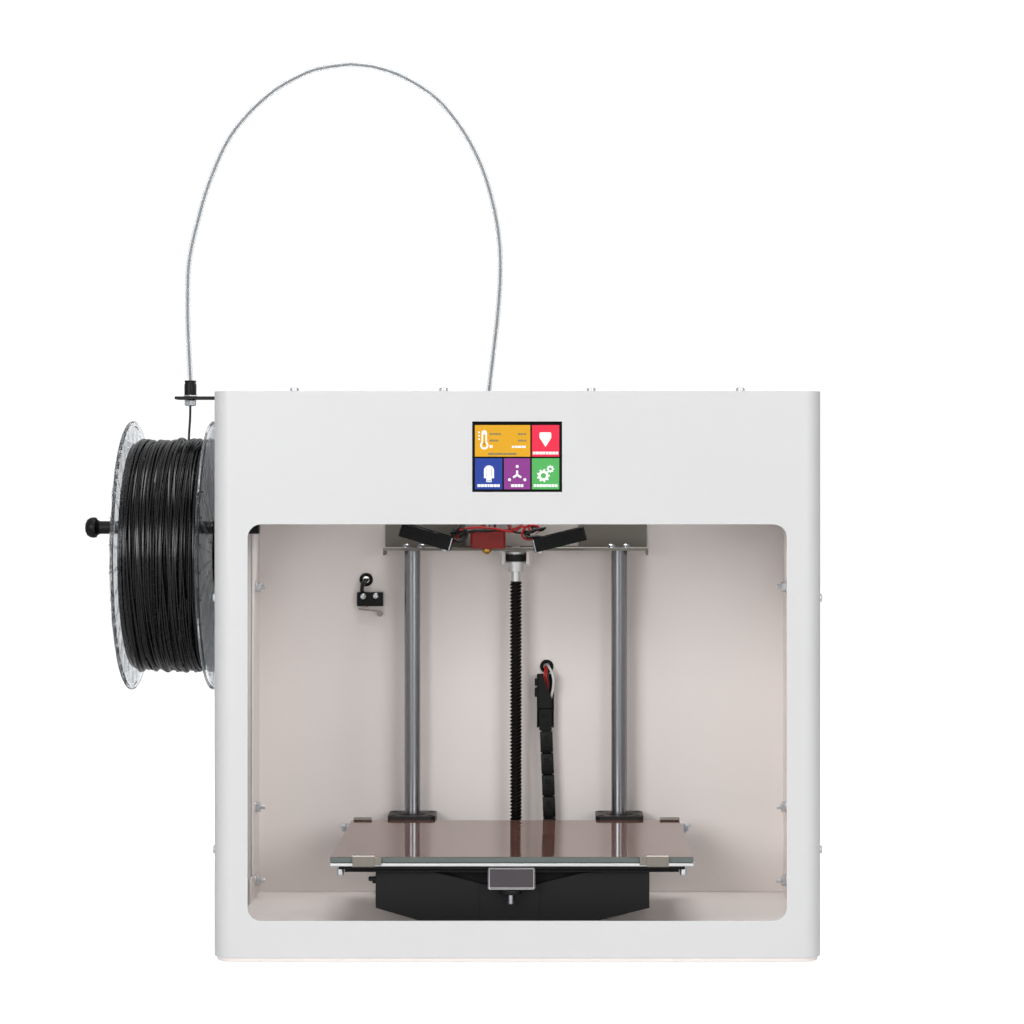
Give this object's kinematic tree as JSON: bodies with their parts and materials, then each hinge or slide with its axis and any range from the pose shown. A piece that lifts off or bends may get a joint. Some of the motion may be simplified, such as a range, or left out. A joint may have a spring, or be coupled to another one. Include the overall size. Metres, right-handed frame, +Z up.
{
  "type": "fdm printer",
  "caption": "White desktop filament printer: folded steel cabinet, open chamber, screw-lifted heated bed, head on rods, touch display, side spool and arched feed tube.",
  "frame": {"origin": "ground level under the middle of the bounding box of the printer with its spool and rod, without its feed tube", "axes": "+Z up, the display and the chamber opening face -Y, the spool hangs on the -X side"},
  "size_m": [0.5324, 0.412, 0.6406],
  "materials": {
    "powder_coated_steel": "satin white powder coat",
    "grey_painted_steel": "satin grey paint",
    "black_coated_steel": "satin black powder coat",
    "ground_steel": "ground and polished",
    "black_oxide_screw": "black oxide steel with a bright hub",
    "motor_body": "black stack between cast end caps",
    "aluminium": "machined",
    "black_anodised_aluminium": "black anodised",
    "brass": "turned",
    "plate_glass": "polished",
    "red_silicone": "moulded matt",
    "black_plastic": "moulded",
    "black_filament": "extruded, glossy",
    "clear_plastic": "clear",
    "belt_rubber": "ribbed neoprene",
    "display_glass": "glossy black glass",
    "circuit_board": "solder mask",
    "perforated_case": "zinc-plated case"
  },
  "bodies": {
    "cabinet": {"front_shell": "powder_coated_steel", "rear_shell": "powder_coated_steel", "base_tray": "powder_coated_steel", "chamber_back_wall": "powder_coated_steel", "display_module": "display_glass", "gantry_frame": "black_coated_steel", "y_rod_left": "ground_steel", "y_rod_right": "ground_steel", "y_motor": "motor_body", "y_belt_left": "belt_rubber", "y_belt_right": "belt_rubber", "z_top_bracket": "grey_painted_steel", "z_rod_left": "ground_steel", "z_rod_right": "ground_steel", "z_belt": "belt_rubber", "z_motor": "motor_body", "spool_rod": "black_plastic", "guide_plate": "black_coated_steel", "guide_fitting": "black_plastic", "filament_tube_rise": "clear_plastic", "endstop_body": "black_plastic", "drag_chain": "black_plastic", "mainboard": "circuit_board", "power_supply": "perforated_case", "power_inlet": "black_plastic"},
    "cross_shaft": {"cross_shaft": "ground_steel"},
    "z_screw": {"z_screw": "black_oxide_screw"},
    "z_motor_pulley": {"z_motor_pulley": "aluminium"},
    "bed": {"bed_support": "black_coated_steel", "heater_plate": "aluminium", "glass_plate": "plate_glass", "bed_grip": "aluminium", "lead_nut": "brass", "bearing_block_left": "black_anodised_aluminium", "bearing_block_right": "black_anodised_aluminium"},
    "level_knob": {"level_knob": "black_plastic"},
    "gantry": {"y_slider_left": "black_coated_steel", "y_slider_right": "black_coated_steel", "x_rod_front": "ground_steel", "x_rod_rear": "ground_steel", "x_motor": "motor_body", "x_belt": "belt_rubber"},
    "x_motor_pulley": {"x_motor_pulley": "aluminium"},
    "x_idler": {"x_idler": "aluminium"},
    "carriage": {"carriage_block": "black_coated_steel", "extruder_motor": "motor_body", "heat_sink": "aluminium", "heater_block": "red_silicone", "nozzle": "brass", "fan_left": "black_plastic", "fan_right": "black_plastic", "filament_tube_drop": "clear_plastic"},
    "fan_left_rotor": {"fan_left_rotor": "black_plastic"},
    "fan_right_rotor": {"fan_right_rotor": "black_plastic"},
    "drive_gear": {"drive_gear": "ground_steel"},
    "idler_lever": {"idler_lever": "aluminium"},
    "spool": {"spool": "clear_plastic", "filament_winding": "black_filament"},
    "endstop_lever": {"endstop_lever": "ground_steel"},
    "rocker_switch": {"rocker_switch": "black_plastic"}
  },
  "joints": [
    {"name": "bed_lift", "type": "slide", "parent": "cabinet", "child": "bed", "axis": [0, 0, 1], "range_m": [0, 0.2], "deforming": ["drag_chain"]},
    {"name": "z_screw_spin", "type": "hinge", "parent": "cabinet", "child": "z_screw", "pos_m": [0.055, 0.03, 0.2], "axis": [0, 0, 1], "range_deg": [-5, 9010]},
    {"name": "z_motor_spin", "type": "hinge", "parent": "cabinet", "child": "z_motor_pulley", "pos_m": [0.055, 0.095, 0.262], "axis": [0, 0, 1], "range_deg": [-5, 9010]},
    {"name": "gantry_slide", "type": "slide", "parent": "cabinet", "child": "gantry", "axis": [0, 1, 0], "range_m": [-0.175, 0], "deforming": ["filament_tube_rise"]},
    {"name": "cross_shaft_spin", "type": "hinge", "parent": "cabinet", "child": "cross_shaft", "pos_m": [0.059, 0.125, 0.362], "axis": [1, 0, 0], "range_deg": [-1255, 2]},
    {"name": "carriage_slide", "type": "slide", "parent": "gantry", "child": "carriage", "axis": [1, 0, 0], "range_m": [-0.102, 0.14], "deforming": ["filament_tube_drop"]},
    {"name": "x_pulley_spin", "type": "hinge", "parent": "gantry", "child": "x_motor_pulley", "pos_m": [0.223, 0.04, 0.342], "axis": [0, 0, 1], "range_deg": [-838, 1150]},
    {"name": "x_idler_spin", "type": "hinge", "parent": "gantry", "child": "x_idler", "pos_m": [-0.105, 0.04, 0.342], "axis": [0, 0, 1], "range_deg": [-838, 1150]},
    {"name": "drive_gear_spin", "type": "hinge", "parent": "carriage", "child": "drive_gear", "pos_m": [0.04, 0.002, 0.3735], "axis": [0, 1, 0], "continuous": true},
    {"name": "idler_lever_swing", "type": "hinge", "parent": "carriage", "child": "idler_lever", "pos_m": [0.0222, 0.0025, 0.337], "axis": [0, 1, 0], "range_deg": [-8, 0], "stiffness_Nm_per_rad": 0.6, "springref_deg": 17.19},
    {"name": "fan_left_spin", "type": "hinge", "parent": "carriage", "child": "fan_left_rotor", "pos_m": [-0.011, -0.005, 0.2848], "axis": [0.2807, 0, 0.9598], "continuous": true},
    {"name": "fan_right_spin", "type": "hinge", "parent": "carriage", "child": "fan_right_rotor", "pos_m": [0.088, -0.005, 0.2828], "axis": [-0.2385, 0, 0.9711], "continuous": true},
    {"name": "spool_spin", "type": "hinge", "parent": "cabinet", "child": "spool", "pos_m": [-0.1985, -0.01, 0.271], "axis": [1, 0, 0], "continuous": true},
    {"name": "endstop_swing", "type": "hinge", "parent": "cabinet", "child": "endstop_lever", "pos_m": [-0.066, 0.0468, 0.2278], "axis": [0, 1, 0], "range_deg": [-6, 0], "stiffness_Nm_per_rad": 0.02, "springref_deg": 17.19},
    {"name": "rocker_tilt", "type": "hinge", "parent": "cabinet", "child": "rocker_switch", "pos_m": [0.2225, 0.2015, 0.053], "axis": [1, 0, 0], "range_deg": [-8, 8]},
    {"name": "level_knob_spin", "type": "hinge", "parent": "bed", "child": "level_knob", "pos_m": [0.0543, -0.1793, 0.045], "axis": [0, 0, 1], "continuous": true}
  ],
  "couplings": [
    {"joint": "z_screw_spin", "follows": "bed_lift", "rad_per_m": 785.4},
    {"joint": "z_motor_spin", "follows": "bed_lift", "rad_per_m": 785.4},
    {"joint": "cross_shaft_spin", "follows": "gantry_slide", "rad_per_m": 125},
    {"joint": "x_pulley_spin", "follows": "carriage_slide", "rad_per_m": 142.86},
    {"joint": "x_idler_spin", "follows": "carriage_slide", "rad_per_m": 142.86}
  ]
}
